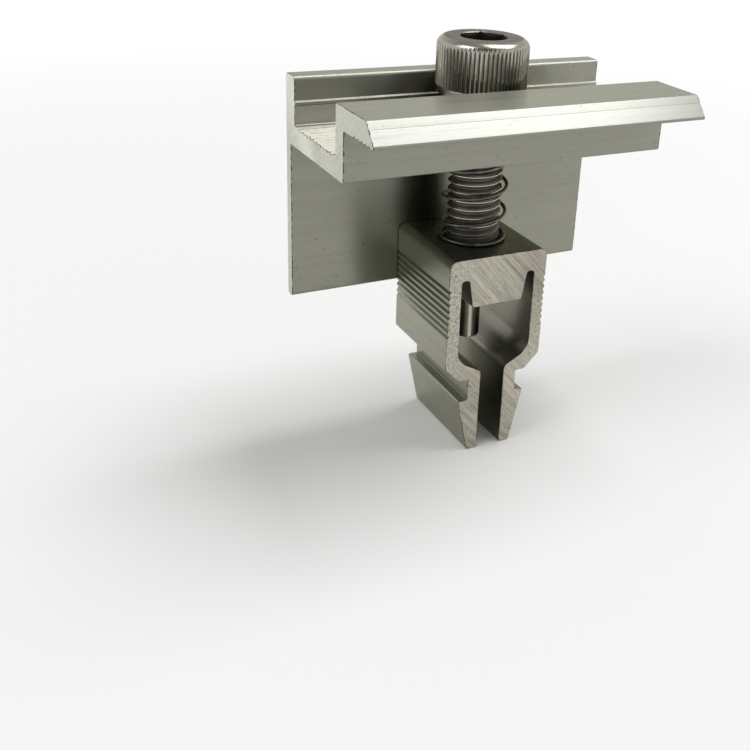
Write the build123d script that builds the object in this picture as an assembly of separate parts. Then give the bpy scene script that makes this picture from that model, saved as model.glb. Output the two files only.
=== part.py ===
from build123d import *
import math
import os

# Solar end clamp kit, modelled as it leaves the box: clamp, bolt, split washer and lifting spring
# stand on a click-in nut. Sizes are in millimetres.
# The origin is where the bolt's axis meets the plane that the nut's feet rest on. +X runs along the
# clamp's own extrusion, +Y points away from the panel and +Z points up, out of the rail.

# Click-in nut, an extrusion cut across Y
nut_width = 16.0
nut_length = 17.0
nut_height = 19.4
nut_wall = 2.0
nut_roof = 3.3
nut_top_rounding = 1.2
nut_mouth_chamfer = 0.6
boss_depth = 7.6
boss_top_width = 9.6
boss_bottom_width = 8.2
boss_rounding = 0.4
slot_rounding = 0.45
shoulder_height = 4.2
shoulder_step = 1.0
shoulder_knee = 2.8
shoulder_end = 1.8
shoulder_lip = 1.2
shoulder_rounding = 0.8
foot_width = 11.2
foot_bevel = 2.4
foot_rounding = 0.4
neck_gap = 4.0
neck_wall = 2.1
notch_height = 3.3
barb_reach = 1.5
barb_rounding = 0.3
nut_leg_depth = 12.0
nut_leg_tip = 1.7
tip_rounding = 0.5
grip_count = 8
grip_pitch = 1.0
grip_depth = 0.25
grip_width = 0.7
grip_drop = 4.6

# End clamp, an extrusion cut across X
clamp_length = 50.0
clamp_lift = 10.0
lip_height = 30.0
lip_thickness = 3.0
channel_depth = 6.8
floor_thickness = 3.0
leg_clearance = 0.1
leg_thickness = 1.6
leg_upper_thickness = 3.2
leg_top_rounding = 0.5
leg_edge_rounding = 0.5
channel_width = 14.7
wall_thickness = 2.5
wall_rounding = 0.3
lip_reach = 8.9
lip_bevel = 2.8
lip_nose = 0.5
lip_step = 0.12
lip_step_share = 0.35
bead_drop = 3.7
bead_radius = 0.3
floor_teeth_pitch = 1.2
floor_teeth_depth = 0.3
floor_teeth_margin = 0.5
lip_teeth_pitch = 1.1
lip_teeth_depth = 0.25
lip_teeth_count = 5
lip_teeth_margin = 0.5
bolt_hole_diameter = 9.0

# Split spring washer, still open
washer_inner_diameter = 8.4
washer_outer_diameter = 12.7
washer_thickness = 2.0
washer_free_height = 4.7
washer_gap_angle = 12.0

# Socket head screw with a plain dog point
bolt_diameter = 7.9
bolt_engagement = 6.5
bolt_end_chamfer = 0.9
dog_diameter = 3.8
dog_length = 9.6
dog_chamfer = 0.3
head_diameter = 13.0
head_height = 8.0
head_rounding = 1.4
head_band_diameter = 12.5
head_band_height = 1.1
head_band_chamfer = 0.3
knurl_count = 64
knurl_depth = 0.22
knurl_crest = 0.03
knurl_margin = 0.15
socket_width = 6.0
socket_depth = 4.5
socket_point_radius = 0.2
socket_point_depth = 1.2
socket_chamfer = 0.3
socket_turn = 8.5

# Lifting spring with closed ends
wire_diameter = 0.55
spring_end_diameter = 10.4
spring_coil_diameter = 9.8
spring_pitch = 4.03
spring_phase = -17.5
spring_closed_turns = 0.85
spring_end_clearance = 0.03
spring_points_per_turn = 12
wire_sides = 6

# Fits
thread_clearance = 0.05

# Heights worked out from the sizes above
clamp_bottom = clamp_lift
lip_bottom = clamp_lift + lip_height
clamp_top = lip_bottom + lip_thickness
floor_top = clamp_top - channel_depth
floor_bottom = floor_top - floor_thickness
head_bottom = floor_top + washer_free_height
head_top = head_bottom + head_height
shank_end = nut_height - bolt_engagement

# Places across the clamp worked out from the sizes above
leg_front = nut_length / 2 + leg_clearance
leg_back = leg_front + leg_thickness
leg_upper_front = leg_back - leg_upper_thickness
wall_inner = leg_upper_front - channel_width
wall_outer = wall_inner - wall_thickness
lip_tip = wall_outer - lip_reach


def rounded(profile, corners, radius):
    """Round the profile's corners nearest to the given points."""
    for corner in corners:
        nearest = min(profile.vertices(), key=lambda v: (Vector(v.X, v.Y) - Vector(*corner)).length)
        profile = fillet(nearest, radius)
    return profile


def filled(points):
    """Close a list of points into a face."""
    return make_face(Polyline(*points, close=True))


def teeth(start, count, pitch, depth, level):
    """Points of a row of V teeth from start, each pitch long, with crests at level."""
    points = []
    for i in range(count):
        points.append((start + i * pitch, level))
        points.append((start + (i + 0.5) * pitch, level + depth))
    points.append((start + count * pitch, level))
    return points


def clamp_profile():
    """The clamp's section, with Y across and Z up."""
    floor_width = channel_width - 2 * floor_teeth_margin
    floor_count = int(floor_width / floor_teeth_pitch)
    floor_start = wall_inner + (channel_width - floor_count * floor_teeth_pitch) / 2
    floor_points = teeth(floor_start, floor_count, floor_teeth_pitch, -floor_teeth_depth, floor_top)
    lip_start = lip_tip + lip_teeth_margin
    lip_points = teeth(lip_start, lip_teeth_count, lip_teeth_pitch, lip_teeth_depth, lip_bottom)
    bevel_drop = lip_thickness - lip_nose
    step_y = lip_tip + lip_bevel * (1 - lip_step_share)
    step_z = clamp_top - bevel_drop * lip_step_share
    points = [
        (leg_back, clamp_bottom),
        (leg_back, clamp_top),
        (leg_upper_front, clamp_top),
        (leg_upper_front, floor_top),
        *reversed(floor_points),
        (wall_inner, floor_top),
        (wall_inner, clamp_top),
        (lip_tip + lip_bevel, clamp_top),
        (step_y, step_z),
        (step_y + lip_step, step_z - lip_step),
        (lip_tip, lip_bottom + lip_nose),
        (lip_tip, lip_bottom),
        *lip_points,
        (wall_outer, lip_bottom),
        (wall_outer, floor_bottom),
        (leg_front, floor_bottom),
        (leg_front, clamp_bottom),
    ]
    profile = filled(points)
    profile = rounded(profile, [(leg_back, clamp_top), (leg_upper_front, clamp_top)], leg_top_rounding)
    profile = rounded(profile, [(leg_back, clamp_bottom), (leg_front, clamp_bottom)], leg_edge_rounding)
    soft = [(wall_inner, clamp_top), (wall_outer, floor_bottom), (wall_outer, lip_bottom),
            (leg_front, floor_bottom)]
    profile = rounded(profile, soft, wall_rounding)
    bead = Pos(leg_upper_front, clamp_top - bead_drop) * Circle(bead_radius)
    return profile + bead


def end_clamp():
    """The extruded clamp with its bolt hole."""
    body = extrude(Plane.YZ * clamp_profile(), clamp_length / 2, both=True)
    return body - Pos(0, 0, floor_bottom) * Cylinder(bolt_hole_diameter / 2, 3 * floor_thickness)


def nut_half_profile():
    """The nut's section on the +X side, with X across and Z up."""
    side = nut_width / 2
    inside = side - nut_wall
    foot = foot_width / 2
    neck_inside = neck_gap / 2
    neck_outside = neck_inside + neck_wall
    slot_top = nut_height - nut_roof
    boss_bottom = nut_height - boss_depth
    grips = []
    for i in range(grip_count):
        middle = nut_height - grip_drop - i * grip_pitch
        grips += [(side, middle + grip_width / 2), (side - grip_depth, middle), (side, middle - grip_width / 2)]
    points = [
        (0, nut_height),
        (side, nut_height),
        *grips,
        (side, foot_bevel),
        (foot, 0),
        (neck_outside, 0),
        (neck_outside, -notch_height),
        (neck_outside + barb_reach, -notch_height),
        (neck_inside + nut_leg_tip, -nut_leg_depth),
        (neck_inside, -nut_leg_depth),
        (neck_inside, shoulder_end - shoulder_lip / 2),
        (neck_inside + shoulder_lip, shoulder_end),
        (inside - shoulder_step, shoulder_knee),
        (inside, shoulder_height),
        (inside, slot_top),
        (boss_top_width / 2, slot_top),
        (boss_bottom_width / 2, boss_bottom),
        (0, boss_bottom),
    ]
    profile = filled(points)
    profile = rounded(profile, [(side, nut_height)], nut_top_rounding)
    profile = rounded(profile, [(side, foot_bevel), (foot, 0)], foot_rounding)
    profile = rounded(profile, [(neck_outside + barb_reach, -notch_height)], barb_rounding)
    profile = rounded(profile, [(neck_inside + nut_leg_tip, -nut_leg_depth)], tip_rounding)
    profile = rounded(profile, [(boss_bottom_width / 2, boss_bottom)], boss_rounding)
    profile = rounded(profile, [(inside, slot_top), (boss_top_width / 2, slot_top)], slot_rounding)
    profile = rounded(profile, [(inside - shoulder_step, shoulder_knee)], shoulder_rounding)
    return profile


def rail_nut():
    """The click-in nut: both halves of its section, extruded and drilled."""
    half = nut_half_profile()
    body = extrude(Plane.XZ * (half + mirror(half, Plane.YZ)), nut_length / 2, both=True)
    bore = Pos(0, 0, nut_height) * Cylinder(bolt_diameter / 2 + thread_clearance, 3 * boss_depth)
    mouth = Pos(0, 0, nut_height) * Cone(
        bolt_diameter / 2, bolt_diameter / 2 + nut_mouth_chamfer, nut_mouth_chamfer,
        align=(Align.CENTER, Align.CENTER, Align.MAX))
    return body - bore - mouth


def lock_washer():
    """One open turn of flat wire, from the clamp's floor up to the bolt's head."""
    width = (washer_outer_diameter - washer_inner_diameter) / 2
    radius = (washer_outer_diameter + washer_inner_diameter) / 4
    share = 1 - washer_gap_angle / 360
    rise = washer_free_height - washer_thickness
    path = Edge.make_helix(pitch=rise / share, height=rise, radius=radius)
    section = Plane.XZ * Pos(radius, washer_thickness / 2) * Rectangle(width, washer_thickness)
    turn = sweep(section, path, is_frenet=True)
    return Pos(0, 0, floor_top) * turn


def knurl_profile():
    """A star with a point for each ridge of the knurl; its points stand a little outside the head."""
    points = []
    for i in range(2 * knurl_count):
        radius = head_diameter / 2 + (-knurl_depth if i % 2 else knurl_crest)
        angle = math.pi * i / knurl_count
        points.append((radius * math.cos(angle), radius * math.sin(angle)))
    return filled(points)


def bolt_profile():
    """Half of the screw's section, with X out and Z up."""
    head = head_diameter / 2
    band = head_band_diameter / 2
    band_top = head_bottom + head_band_height
    shank = bolt_diameter / 2
    dog = dog_diameter / 2
    dog_end = shank_end - dog_length
    profile = filled([
        (0, head_top),
        (head, head_top),
        (head, band_top),
        (band, band_top),
        (band, head_bottom + head_band_chamfer),
        (band - head_band_chamfer, head_bottom),
        (shank, head_bottom),
        (shank, shank_end + bolt_end_chamfer),
        (shank - bolt_end_chamfer, shank_end),
        (dog, shank_end),
        (dog, dog_end + dog_chamfer),
        (dog - dog_chamfer, dog_end),
        (0, dog_end),
    ])
    return rounded(profile, [(head, head_top)], head_rounding)


def clamp_bolt():
    """Socket head screw: knurled head, threaded shank drawn at its crests, and dog point."""
    body = revolve(Plane.XZ * bolt_profile(), Axis.Z)
    corner = socket_width / math.sqrt(3)
    socket_floor = Pos(0, 0, head_top - socket_depth)
    socket = extrude(socket_floor * RegularPolygon(corner, 6, rotation=socket_turn), socket_depth)
    point = socket_floor * Cone(
        socket_point_radius, socket_width / 2, socket_point_depth,
        align=(Align.CENTER, Align.CENTER, Align.MAX))
    mouth = Pos(0, 0, head_top) * Cone(
        corner - socket_chamfer, corner + socket_chamfer, 2 * socket_chamfer)
    body -= socket + point + mouth
    knurl_length = head_height - head_band_height - head_rounding - knurl_margin
    sleeve = Circle(head_diameter) - knurl_profile()
    return body - extrude(Pos(0, 0, head_bottom + head_band_height) * sleeve, knurl_length)


def spring_path():
    """The wire's centre line: closed coils at both ends and open ones between them."""
    low = nut_height + spring_end_clearance + wire_diameter / 2
    high = floor_bottom - spring_end_clearance - wire_diameter / 2
    open_turns = (high - low) / spring_pitch
    end_radius = (spring_end_diameter - wire_diameter) / 2
    coil_radius = (spring_coil_diameter - wire_diameter) / 2
    total = open_turns + 2 * spring_closed_turns
    count = round(total * spring_points_per_turn)
    points = []
    for i in range(count + 1):
        turn = total * i / count
        open_turn = min(max(turn - spring_closed_turns, 0), open_turns)
        near_end = max(0, 1 - min(turn, total - turn) / spring_closed_turns)
        radius = coil_radius + (end_radius - coil_radius) * near_end ** 0.5
        angle = math.radians(spring_phase) + 2 * math.pi * (turn - spring_closed_turns)
        points.append((radius * math.cos(angle), radius * math.sin(angle), low + open_turn * spring_pitch))
    return Spline(*points)


def lift_spring():
    """Wire swept along the spring's centre line, its round section drawn with flat sides."""
    path = spring_path()
    section = Plane(origin=path @ 0, z_dir=path % 0) * RegularPolygon(wire_diameter / 2, wire_sides)
    return sweep(section, path, is_frenet=True)


os.makedirs("parts", exist_ok=True)
export_step(end_clamp(), "parts/end_clamp.step")
export_step(clamp_bolt(), "parts/clamp_bolt.step")
export_step(lock_washer(), "parts/lock_washer.step")
export_step(lift_spring(), "parts/lift_spring.step")
export_step(rail_nut(), "parts/rail_nut.step")
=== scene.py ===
import math

import bmesh
import bpy
import numpy as np
from bpy.props import FloatProperty, FloatVectorProperty, IntProperty, PointerProperty
from mathutils import Matrix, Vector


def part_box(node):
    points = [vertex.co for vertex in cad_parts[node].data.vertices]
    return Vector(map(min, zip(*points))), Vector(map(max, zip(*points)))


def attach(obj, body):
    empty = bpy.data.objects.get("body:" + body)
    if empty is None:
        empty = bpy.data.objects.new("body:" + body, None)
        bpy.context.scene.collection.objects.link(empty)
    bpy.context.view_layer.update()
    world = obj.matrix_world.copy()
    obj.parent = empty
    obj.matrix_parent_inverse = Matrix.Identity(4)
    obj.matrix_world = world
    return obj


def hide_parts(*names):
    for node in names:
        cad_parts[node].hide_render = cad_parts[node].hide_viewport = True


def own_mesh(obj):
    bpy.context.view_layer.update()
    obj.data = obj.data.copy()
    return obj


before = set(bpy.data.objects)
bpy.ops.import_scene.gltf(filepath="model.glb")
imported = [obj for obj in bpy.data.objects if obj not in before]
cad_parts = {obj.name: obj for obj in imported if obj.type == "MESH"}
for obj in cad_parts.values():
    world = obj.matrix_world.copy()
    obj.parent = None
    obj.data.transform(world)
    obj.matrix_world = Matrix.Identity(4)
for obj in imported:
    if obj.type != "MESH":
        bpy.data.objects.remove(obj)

bl_info = {
    "name": "Solar End Clamp",
    "version": (1, 0, 0),
    "blender": (4, 5, 0),
    "location": "View3D > Sidebar > End Clamp",
    "description": "Builds a solar end clamp with its socket screw, split washer, spring and rail nut",
    "category": "Add Mesh",
}

MM = 0.001
CLAMP_LOW, CLAMP_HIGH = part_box("end_clamp")
SCREW_LOW, SCREW_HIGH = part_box("clamp_bolt")
WASHER_LOW, WASHER_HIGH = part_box("lock_washer")
SPRING_LOW, SPRING_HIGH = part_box("lift_spring")
NUT_LOW, NUT_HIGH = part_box("rail_nut")
PHOTO_WIDTH = 750


def distance(name, description, millimetres):
    """A length property, given in millimetres and kept in metres."""
    return FloatProperty(name=name, description=description, default=millimetres * MM, min=0, precision=5,
                         subtype="DISTANCE", unit="LENGTH")


def factor(name, description, value):
    """A property between nothing and one."""
    return FloatProperty(name=name, description=description, default=value, min=0, max=1, subtype="FACTOR")


def quantity(name, description, number, least=1):
    """A property that is a whole number."""
    return IntProperty(name=name, description=description, default=number, min=least)


def colour(name, description, red, green, blue):
    """A colour property, in linear light."""
    return FloatVectorProperty(name=name, description=description, default=(red, green, blue), size=3,
                               min=0, max=1, subtype="COLOR")


def turn(name, description, degrees):
    """An angle property, given in degrees and kept in radians."""
    return FloatProperty(name=name, description=description, default=math.radians(degrees), subtype="ANGLE",
                         unit="ROTATION")


class EndClampSizes(bpy.types.PropertyGroup):
    """Sizes of the extruded clamp."""

    channel_width: distance("Channel width", "Clear width of the channel that the head stands in", 14.7)
    channel_depth: distance("Channel depth", "From the clamp's top down to the channel's floor", 6.8)
    floor_thickness: distance("Floor thickness", "Thickness of the channel's floor", 3)
    leg_thickness: distance("Leg thickness", "Thickness of the leg behind the nut", 1.6)
    leg_upper_thickness: distance("Upper leg thickness", "Thickness of the leg beside the channel", 3.2)
    wall_thickness: distance("Wall thickness", "Thickness of the wall that the panel stops at", 2.5)
    lip_thickness: distance("Lip thickness", "Thickness of the lip over the panel", 3)
    lip_bevel: distance("Lip bevel", "Width of the bevel along the lip's front", 2.15)
    lip_nose: distance("Lip nose", "Height of the upright edge under the bevel", 0.4)
    step_size: distance("Bevel step", "Size of the fine step along the bevel", 0.025)
    step_share: factor("Step place", "How far down the bevel the fine step lies", 0.35)
    bead_drop: distance("Bead drop", "From the leg's top down to the bead on its inner side", 3.7)
    bead_radius: distance("Bead radius", "How far the bead stands out", 0.28)
    floor_tooth_pitch: distance("Floor tooth pitch", "Spacing of the teeth in the channel's floor", 1.2)
    floor_tooth_depth: distance("Floor tooth depth", "Depth of the teeth in the channel's floor", 0.34)
    lip_tooth_pitch: distance("Lip tooth pitch", "Spacing of the teeth under the lip", 1.1)
    lip_tooth_depth: distance("Lip tooth depth", "Depth of the teeth under the lip", 0.25)
    lip_tooth_count: quantity("Lip teeth", "Number of teeth under the lip", 5)
    tooth_margin: distance("Tooth margin", "Flat left beside each row of teeth", 0.5)
    hole_diameter: distance("Bolt hole", "Diameter of the hole in the floor", 9)
    soft_edge: distance("Soft edge", "Rounding of the saw-cut ends", 0.09)


class ScrewSizes(bpy.types.PropertyGroup):
    """Sizes of the socket head screw."""

    head_height: distance("Head height", "Height of the head", 8)
    head_rounding: distance("Head rounding", "Radius of the head's upper edge", 1.4)
    band_diameter: distance("Band diameter", "Diameter of the plain band under the knurl", 12.5)
    band_height: distance("Band height", "Height of the plain band under the knurl", 1.1)
    band_chamfer: distance("Band chamfer", "Chamfer of the head's lower edge", 0.3)
    knurl_count: quantity("Knurl ridges", "Number of ridges round the head", 64, least=8)
    knurl_depth: distance("Knurl depth", "Depth of the knurl's grooves", 0.22)
    socket_width: distance("Socket width", "Distance across the flats of the hex socket", 6)
    socket_depth: distance("Socket depth", "Depth of the hex socket", 4.5)
    socket_point: distance("Socket point", "Depth of the drill point under the socket", 1.2)
    socket_turn: turn("Socket turn", "Angle of one corner of the socket from the X axis", 8.5)
    thread_diameter: distance("Thread diameter", "Diameter over the thread's crests", 7.9)
    thread_pitch: distance("Thread pitch", "Rise of the thread in one turn", 1.25)
    thread_depth: distance("Thread depth", "Depth of the thread", 0.72)
    thread_end_chamfer: distance("Thread end", "Chamfer of the thread's lower end", 0.9)
    dog_diameter: distance("Dog diameter", "Diameter of the plain dog point", 3.8)
    dog_length: distance("Dog length", "Length of the plain dog point", 9.6)
    dog_chamfer: distance("Dog chamfer", "Chamfer of the dog point's end", 0.3)


class WasherSizes(bpy.types.PropertyGroup):
    """Sizes of the split washer."""

    inner_diameter: distance("Inner diameter", "Diameter of the washer's hole", 8.4)
    thickness: distance("Thickness", "Thickness of the washer's wire", 2)
    gap: turn("Gap", "Angle of the gap between the washer's ends", 12)
    soft_edge: distance("Soft edge", "Rounding of the washer's edges", 0.22)


class SpringSizes(bpy.types.PropertyGroup):
    """Sizes of the lifting spring."""

    wire_diameter: distance("Wire diameter", "Diameter of the wire", 0.55)
    end_diameter: distance("End diameter", "Diameter over the closed end coils", 10.4)
    coil_diameter: distance("Coil diameter", "Diameter over the open coils", 9.8)
    pitch: distance("Pitch", "Rise of the open coils in one turn", 4.03)
    phase: turn("Phase", "Angle from the X axis at which the open coils begin", -17.5)
    closed_turns: factor("Closed turns", "Turns of each closed end coil", 0.85)


class RailNutSizes(bpy.types.PropertyGroup):
    """Sizes of the click-in nut."""

    wall: distance("Wall", "Thickness of the nut's side walls", 2)
    roof: distance("Roof", "Thickness of the nut's top beside the boss", 3.3)
    top_rounding: distance("Top rounding", "Radius of the upper corners", 1.2)
    boss_depth: distance("Boss depth", "Depth of the threaded boss", 7.6)
    boss_top_width: distance("Boss top width", "Width of the boss where it leaves the roof", 9.6)
    boss_bottom_width: distance("Boss bottom width", "Width of the boss at its lower end", 8.2)
    foot_width: distance("Foot width", "Distance over the two feet", 11.2)
    foot_bevel: distance("Foot bevel", "Height of the slope beside each foot", 2.4)
    neck_gap: distance("Neck gap", "Gap between the two legs", 4)
    neck_wall: distance("Neck wall", "Thickness of each leg above its barb", 2.1)
    notch_height: distance("Notch height", "Height of the notch between foot and barb", 3.3)
    barb_reach: distance("Barb reach", "How far each barb stands out", 1.5)
    leg_tip: distance("Leg tip", "Thickness of each leg at its tip", 1.7)
    shoulder_height: distance("Shoulder height", "Where the inner wall begins to thicken", 4.2)
    shoulder_step: distance("Shoulder step", "Width of the inner wall's first slope", 1)
    shoulder_knee: distance("Shoulder knee", "Height of the inner wall's knee", 2.8)
    shoulder_end: distance("Shoulder end", "Height at which the shoulder meets the leg", 1.8)
    shoulder_lip: distance("Shoulder lip", "Width of the slope beside the leg", 1.2)
    grip_count: quantity("Grip grooves", "Number of grooves in each side", 8)
    grip_pitch: distance("Grip pitch", "Spacing of the grooves", 1)
    grip_depth: distance("Grip depth", "Depth of the grooves", 0.25)
    grip_width: distance("Grip width", "Width of the grooves", 0.7)
    grip_drop: distance("Grip drop", "From the nut's top down to its first groove", 4.6)
    bore_diameter: distance("Bore diameter", "Diameter of the bore for the screw", 8)
    mouth_chamfer: distance("Mouth chamfer", "Chamfer of the bore's mouth", 0.6)
    soft_edge: distance("Soft edge", "Rounding of the saw-cut ends", 0.11)


class Finishes(bpy.types.PropertyGroup):
    """Colours of the metals."""

    clamp: colour("Clamp", "Colour of the extruded clamp", 0.3, 0.3, 0.248)
    # Lighter colour: a painted highlight on the clamp's bevel and painted light low on the channel's sides.
    clamp_painted_light: colour("Clamp painted light", "Colour of the bevel and low on the channel's sides", 0.45, 0.45, 0.4)
    clamp_cut: colour("Clamp ends", "Colour of the clamp's saw-cut ends", 0.72, 0.725, 0.63)
    clamp_marks: colour("Clamp end marks", "Colour of the marks across the clamp's ends", 0.56, 0.56, 0.48)
    clamp_smear: colour("Clamp end smears", "Colour of smooth patches on the clamp's ends", 0.7, 0.72, 0.63)
    nut: colour("Nut", "Colour of the extruded nut", 0.35, 0.35, 0.295)
    nut_cut: colour("Nut ends", "Colour of the nut's saw-cut ends", 0.63, 0.61, 0.51)
    nut_marks: colour("Nut end marks", "Colour of the marks across the nut's ends", 0.24, 0.23, 0.2)
    nut_smear: colour("Nut end smears", "Colour of smooth patches on the nut's ends", 0.64, 0.59, 0.49)
    screw: colour("Screw", "Colour of the screw's steel", 0.46, 0.45, 0.4)
    polished: colour("Dog point", "Colour of the screw's smooth dog point", 0.56, 0.52, 0.45)
    # Grime colour, also used as painted shade inside the nut, in the screw's socket and for the burr's
    # shadow.
    grime_and_shade: colour("Grime", "Colour of the oil and dust in grooves", 0.03, 0.027, 0.022)
    washer: colour("Washer", "Colour of the split washer's steel", 0.36, 0.35, 0.32)
    spring: colour("Spring", "Colour of the spring's drawn wire", 0.12, 0.115, 0.105)
    floor: colour("Floor", "Colour of the floor", 0.92, 0.92, 0.885)


def circle(columns, start=0.0):
    """Angles once round from start, with the first one given again at the end."""
    return start + np.linspace(0, 2 * np.pi, columns + 1)


def turned(radii, heights, angles):
    """Points at those radii, heights and angles about the Z axis, each spread over the shape of all."""
    radii, heights, angles = np.broadcast_arrays(radii, heights, angles)
    return np.stack([radii * np.cos(angles), radii * np.sin(angles), heights], -1)


def lathed(profile, angles):
    """Rows of points: each radius and height of a profile is carried round the Z axis through the angles."""
    radii, heights = np.transpose(profile)
    return turned(radii[:, None], heights[:, None], angles)


def rounded_outline(corners, steps=6):
    """A closed outline whose corners are arcs, its outward directions and how far each point can move in.

    Each corner is a place and a radius. Its arc touches both of its sides, so it starts at the radius times
    the tangent of half the turn before the corner, and its points are the first side's normal turned in
    equal steps about the arc's centre. The outline runs counterclockwise.
    """
    most_of_side = 0.48
    most_of_radius = 0.85
    least_slope = 1e-9
    places, radii = corners[:, :2], corners[:, 2]
    ahead = np.roll(places, -1, 0) - places
    lengths = np.linalg.norm(ahead, axis=1)
    ahead = ahead / lengths[:, None]
    behind = np.roll(ahead, 1, 0)
    cross = behind[:, 0] * ahead[:, 1] - behind[:, 1] * ahead[:, 0]
    bend = np.arctan2(cross, (behind * ahead).sum(1))
    slope = np.tan(np.abs(bend) / 2) + least_slope
    radii = np.minimum(radii, most_of_side * np.minimum(lengths, np.roll(lengths, 1)) / slope)
    side = np.where(bend < 0, -1.0, 1.0)
    right = np.stack([behind[:, 1], -behind[:, 0]], 1)
    centres = places - behind * (radii * slope)[:, None] - right * (side * radii)[:, None]
    angles = bend[:, None] * np.linspace(0, 1, steps)
    cosine, sine = np.cos(angles), np.sin(angles)
    outward = np.stack([right[:, :1] * cosine - right[:, 1:] * sine,
                        right[:, :1] * sine + right[:, 1:] * cosine], -1)
    points = centres[:, None] + outward * (side * radii)[:, None, None]
    play = np.repeat(np.where(bend > 0, most_of_radius * radii, np.inf), steps)
    return points.reshape(-1, 2), outward.reshape(-1, 2), play


def refined(outline, outward, play, spacing=0.3 * MM):
    """The outline with points added along its straight sides, at even steps no longer than the spacing."""
    lengths = np.linalg.norm(np.roll(outline, -1, 0) - outline, axis=1)
    parts = np.maximum(np.ceil(lengths / spacing).astype(int), 1)
    first = np.repeat(np.arange(len(outline)), parts)
    second = (first + 1) % len(outline)
    place = np.arange(parts.sum()) - np.repeat(np.cumsum(parts) - parts, parts)
    share = (place / parts[first])[:, None]
    direction = outward[first] * (1 - share) + outward[second] * share
    direction /= np.linalg.norm(direction, axis=1)[:, None]
    points = outline[first] * (1 - share) + outline[second] * share
    return points, direction, np.minimum(play[first], play[second])


def uneven(random, points, span=5, spread=2.6, least=0.25, most=2.2):
    """Multipliers about one, smoothed over a span of points, for an edge that a saw left ragged."""
    rough = random.random(points + span - 1)
    smooth = sum(rough[i:i + points] for i in range(span)) / span
    return np.clip(1 + spread * (smooth - 0.5), least, most)


def extruded(corners, low, high, soft_edge, axis):
    """Rows of points: the outline of the corners carried along X or Y from low to high.

    At both ends a quarter round leads into the cut: the outline moves in by the edge times one minus the
    sine of an angle, while its place along the axis moves by the edge times one minus the cosine.
    """
    outline, outward, play = refined(*rounded_outline(corners))
    angles = np.linspace(0, np.pi / 2, 4)
    step = soft_edge * (1 - np.cos(angles))
    random = np.random.default_rng(7)
    low_inset, high_inset = [
        np.outer(1 - np.sin(angles), np.minimum(soft_edge * uneven(random, len(outline)), play))
        for _ in range(2)]
    insets = np.concatenate([low_inset, high_inset[::-1]])
    across, up = np.moveaxis(outline - outward * insets[..., None], -1, 0)
    along = np.broadcast_to(np.r_[low + step, high - step[::-1]][:, None], across.shape)
    return np.stack((along, across, up) if axis == "X" else (across, along, up), -1)


def teeth(start, count, pitch, level, rise):
    """Corners of a row of V teeth that run to +Y from start, each a pitch long, with tips off the level."""
    rounding = 0.1 * MM
    corner = np.arange(2 * count + 1)
    places, heights = start + corner * pitch / 2, level + rise * (corner % 2)
    return np.stack([places, heights, np.full(len(corner), rounding)], 1)


def grid_faces(rows, columns, closed=False):
    """Faces between neighbouring rows and columns. A closed grid joins its last column to its first."""
    row, column = np.indices((rows - 1, columns if closed else columns - 1)).reshape(2, -1)
    here, following = row * columns + column, row * columns + (column + 1) % columns
    return np.stack([here, following, following + columns, here + columns], 1)


def finished_mesh(name, points, faces, sharp_degrees):
    """A closed mesh with its doubles merged and its faces outwards, smooth except at sharp edges."""
    merging = 0.0005 * MM
    mesh = bpy.data.meshes.new(name)
    mesh.from_pydata(points, [], faces)
    work = bmesh.new()
    work.from_mesh(mesh)
    bmesh.ops.remove_doubles(work, verts=work.verts, dist=merging)
    if work.calc_volume(signed=True) < 0:
        bmesh.ops.reverse_faces(work, faces=work.faces)
    work.to_mesh(mesh)
    work.free()
    mesh.shade_smooth()
    mesh.set_sharp_from_angle(angle=math.radians(sharp_degrees))
    mesh.update()
    return mesh


def grid_mesh(name, *grids, sharp_degrees=50):
    """A closed mesh of one grid of points, or of a few that each close by themselves."""
    points, faces = [], []
    for rows in grids:
        faces += (grid_faces(*rows.shape[:2]) + len(points)).tolist()
        points += rows.reshape(-1, 3).tolist()
    return finished_mesh(name, points, faces, sharp_degrees)


def extruded_mesh(name, corners, low, high, soft_edge, axis, sharp_degrees=50):
    """A closed extrusion of the outline's corners along X or Y, with both of its cut ends."""
    rows = extruded(corners, low, high, soft_edge, axis)
    count, columns = rows.shape[:2]
    faces = grid_faces(count, columns, closed=True).tolist()
    faces.append(list(range(columns))[::-1])
    faces.append(list(range((count - 1) * columns, count * columns)))
    return finished_mesh(name, rows.reshape(-1, 3).tolist(), faces, sharp_degrees)


def drilled(mesh, profile, columns=96):
    """Cut a hole out of a mesh and give back the new mesh. The hole is a profile turned about the Z axis."""
    rows = lathed(profile, circle(columns))
    drill = bpy.data.objects.new("drill", grid_mesh("drill", rows, sharp_degrees=180))
    blank = bpy.data.objects.new("blank", mesh)
    for thing in (drill, blank):
        bpy.context.scene.collection.objects.link(thing)
    cut = blank.modifiers.new("hole", "BOOLEAN")
    cut.operation = "DIFFERENCE"
    cut.solver = "EXACT"
    cut.object = drill
    bpy.context.view_layer.update()
    result = bpy.data.meshes.new_from_object(blank.evaluated_get(bpy.context.evaluated_depsgraph_get()))
    result.materials.clear()
    for thing in (drill, blank):
        bpy.data.objects.remove(thing)
    return result


def add_piece(name, mesh, node, body):
    """Put a mesh into the scene in place of the solid's node, riding on its body."""
    piece = bpy.data.objects.new(name, mesh)
    bpy.context.scene.collection.objects.link(piece)
    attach(piece, body)
    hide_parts(node)
    return piece


def flat_shading(piece):
    """Let large flat faces keep their own direction where they meet small rounded edges."""
    weight = piece.modifiers.new("flat faces", "WEIGHTED_NORMAL")
    weight.mode = "FACE_AREA"
    weight.weight = 90
    weight.keep_sharp = True


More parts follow.
